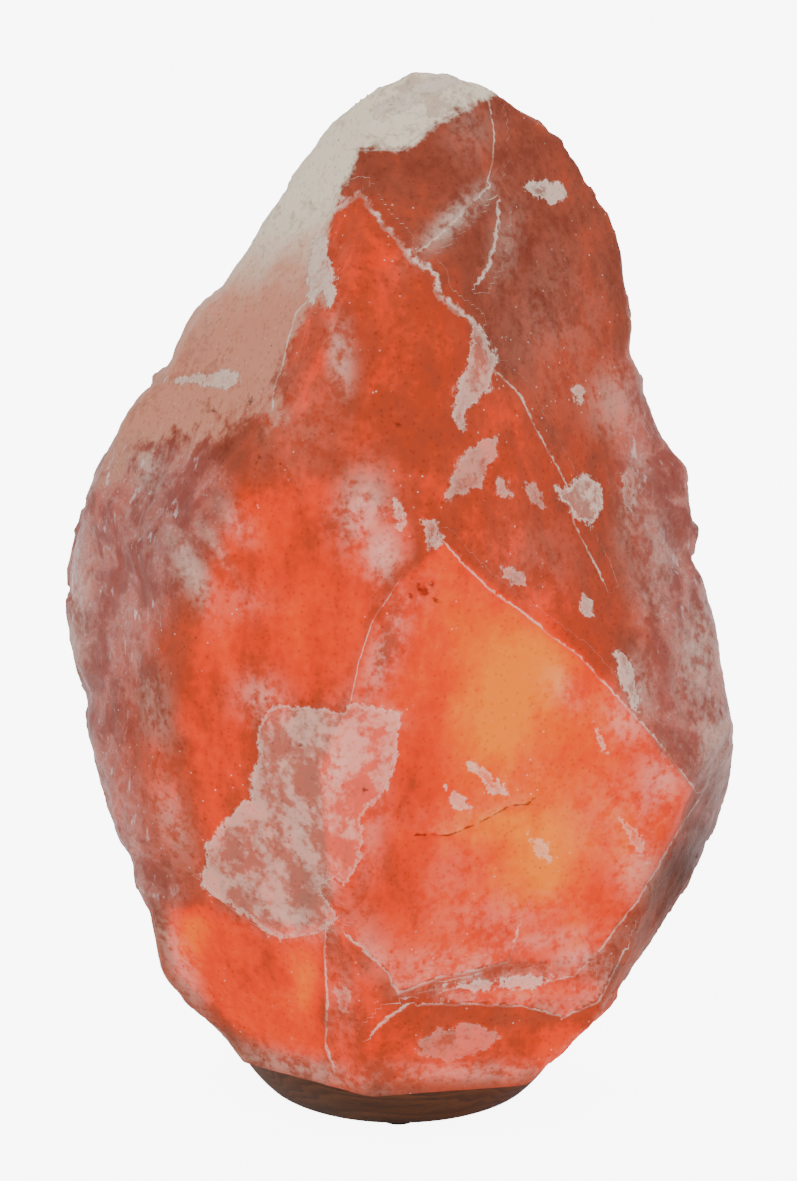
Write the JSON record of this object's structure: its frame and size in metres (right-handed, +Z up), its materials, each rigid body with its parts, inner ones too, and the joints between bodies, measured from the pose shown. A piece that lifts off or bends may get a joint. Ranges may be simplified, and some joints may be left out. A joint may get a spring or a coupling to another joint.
{
  "type": "salt crystal lamp",
  "caption": "Hewn salt crystal table lamp on a turned wooden base, hollow, lit from inside by a screw bulb in a pull-out lamp holder with spring clips.",
  "frame": {"origin": "middle of the footprint on the surface that the lamp stands on", "axes": "+Z up along the bore that holds the bulb, front of the boulder towards -Y, +X to the right seen from the front"},
  "size_m": [0.193, 0.143, 0.299],
  "materials": {
    "rock_salt": "frosted, translucent, glowing from inside",
    "turned_wood": "dark oiled, satin",
    "felt_pad": "felt",
    "zinc_screw": "zinc plated",
    "grey_nylon": "moulded nylon",
    "black_rubber": "matt rubber",
    "white_thermoplastic": "moulded, satin",
    "steatite": "unglazed ceramic",
    "plated_shell": "nickel plated sheet",
    "spring_brass": "rolled brass",
    "spring_steel": "tempered strip",
    "black_vitrite": "black glass",
    "solder": "solder",
    "bulb_glass": "clear glass",
    "lead_wire": "drawn nickel wire",
    "tungsten": "glowing tungsten wire"
  },
  "bodies": {
    "lamp": {"salt_crystal": "rock_salt", "wood_base": "turned_wood", "base_feet": "felt_pad", "base_screws": "zinc_screw", "screw_washers": "zinc_screw", "wall_plugs": "grey_nylon", "cable_grommet": "black_rubber"},
    "holder": {"holder_housing": "white_thermoplastic", "holder_cover": "white_thermoplastic", "cover_screws": "zinc_screw", "contact_carrier": "steatite", "screw_shell": "plated_shell", "centre_contact": "spring_brass", "terminal_blocks": "spring_brass", "terminal_screws": "zinc_screw", "contact_rivets": "spring_brass", "clip_bracket": "spring_steel", "clip_pins": "spring_steel"},
    "clip_left": {"clip_left": "spring_steel"},
    "clip_right": {"clip_right": "spring_steel"},
    "bulb_foot": {"bulb_contact": "solder", "bulb_insulator": "black_vitrite"},
    "bulb": {"bulb_cap": "plated_shell", "bulb_glass": "bulb_glass", "bulb_stem": "bulb_glass", "bulb_leads": "lead_wire", "filament_supports": "lead_wire", "filament": "tungsten"}
  },
  "joints": [
    {"name": "holder_pull", "type": "slide", "parent": "lamp", "child": "holder", "axis": [0, 0, -1], "range_m": [0, 0.09]},
    {"name": "clip_left_squeeze", "type": "hinge", "parent": "holder", "child": "clip_left", "pos_m": [-0.0179, 0, 0.0363], "axis": [0, -1, 0], "range_deg": [0, 6], "stiffness_Nm_per_rad": 0.02, "springref_deg": -17.19},
    {"name": "clip_right_squeeze", "type": "hinge", "parent": "holder", "child": "clip_right", "pos_m": [0.0179, 0, 0.0363], "axis": [0, 1, 0], "range_deg": [0, 6], "stiffness_Nm_per_rad": 0.02, "springref_deg": -17.19},
    {"name": "bulb_travel", "type": "slide", "parent": "holder", "child": "bulb_foot", "axis": [0, 0, 1], "range_m": [0, 0.01128]},
    {"name": "bulb_turn", "type": "hinge", "parent": "bulb_foot", "child": "bulb", "pos_m": [0, 0, 0.05], "axis": [0, 0, 1], "range_deg": [0, 1440]}
  ],
  "couplings": [
    {"joint": "bulb_turn", "follows": "bulb_travel", "rad_per_m": 2228.1}
  ]
}
